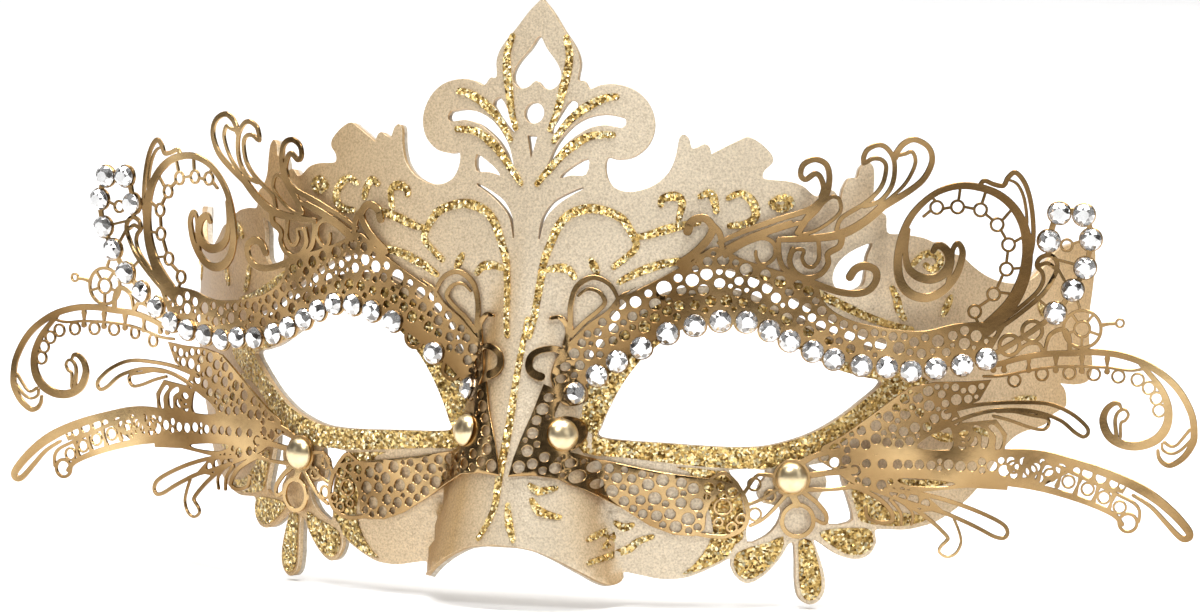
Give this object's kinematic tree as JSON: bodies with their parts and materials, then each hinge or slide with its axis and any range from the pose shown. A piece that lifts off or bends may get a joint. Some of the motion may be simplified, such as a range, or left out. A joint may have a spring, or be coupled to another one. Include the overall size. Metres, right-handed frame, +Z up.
{
  "type": "venetian masquerade eye mask",
  "caption": "Formed eye mask with a laser-cut crown, two bent metal filigree sheets riveted at nose and cheeks, rows of glued rhinestones and a tie eyelet at each temple.",
  "frame": {"origin": "middle of the wearer's nose bridge, level with the inner corners of the eye holes", "axes": "+X to the wearer's left, -Y out of the mask's front, +Z up"},
  "size_m": [0.225, 0.077, 0.1054],
  "materials": {
    "leatherette": "pearl satin",
    "backing": "matt felt",
    "gold_glitter": "coarse glitter",
    "filigree_gold": "polished, warm dark reflections",
    "rhinestone": "faceted, silver foil back",
    "polished_gold": "polished",
    "stud_metal": "plain",
    "eyelet_metal": "satin"
  },
  "bodies": {
    "root": {"leatherette_cover": "leatherette", "backing_shell": "backing", "glitter_coat": "gold_glitter", "filigree_left": "filigree_gold", "filigree_right": "filigree_gold", "brow_rhinestones_left": "rhinestone", "brow_rhinestones_right": "rhinestone", "temple_rhinestones_left": "rhinestone", "temple_rhinestones_right": "rhinestone", "nose_stud_cap_left": "polished_gold", "nose_stud_cap_right": "polished_gold", "cheek_stud_cap_left": "polished_gold", "cheek_stud_cap_right": "polished_gold", "nose_stud_post_left": "stud_metal", "nose_stud_post_right": "stud_metal", "cheek_stud_post_left": "stud_metal", "cheek_stud_post_right": "stud_metal", "nose_stud_washer_left": "stud_metal", "nose_stud_washer_right": "stud_metal", "cheek_stud_washer_left": "stud_metal", "cheek_stud_washer_right": "stud_metal", "tie_eyelet_left": "eyelet_metal", "tie_eyelet_right": "eyelet_metal"}
  },
  "joints": []
}
